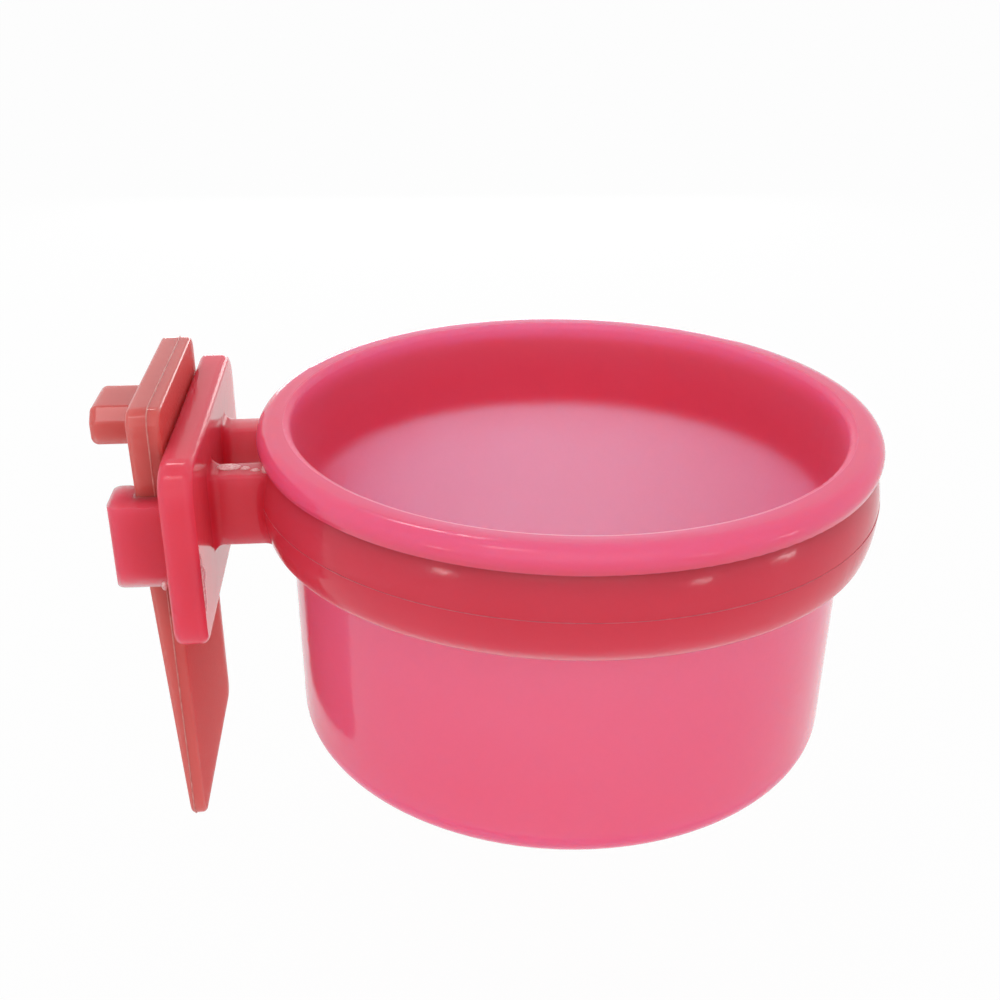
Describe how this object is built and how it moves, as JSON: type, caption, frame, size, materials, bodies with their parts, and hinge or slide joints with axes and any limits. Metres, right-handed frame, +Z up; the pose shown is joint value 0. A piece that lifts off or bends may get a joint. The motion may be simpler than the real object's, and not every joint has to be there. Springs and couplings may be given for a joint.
{
  "type": "hanging seed cup",
  "caption": "Round translucent pink seed cup that drops into a ring holder, whose clamp plate and sliding wedge lock it to the bars of a cage.",
  "frame": {"origin": "centre of the clamp plate's bar side, where the cage bars lie", "axes": "+X from the bars towards the cup's axis, +Z up along that axis, +Y along the plate's width"},
  "size_m": [0.1202, 0.0968, 0.07],
  "materials": {
    "cup_plastic": "glossy, translucent",
    "holder_plastic": "satin gloss",
    "wedge_plastic": "satin gloss"
  },
  "bodies": {
    "holder": {"holder": "holder_plastic"},
    "cup": {"cup": "cup_plastic"},
    "wedge": {"wedge": "wedge_plastic"}
  },
  "joints": [
    {"name": "cup_lift", "type": "slide", "parent": "holder", "child": "cup", "axis": [0, 0, 1], "range_m": [0, 0.05]},
    {"name": "wedge_slide", "type": "slide", "parent": "holder", "child": "wedge", "axis": [0, 0, 1], "range_m": [0, 0.058]}
  ]
}
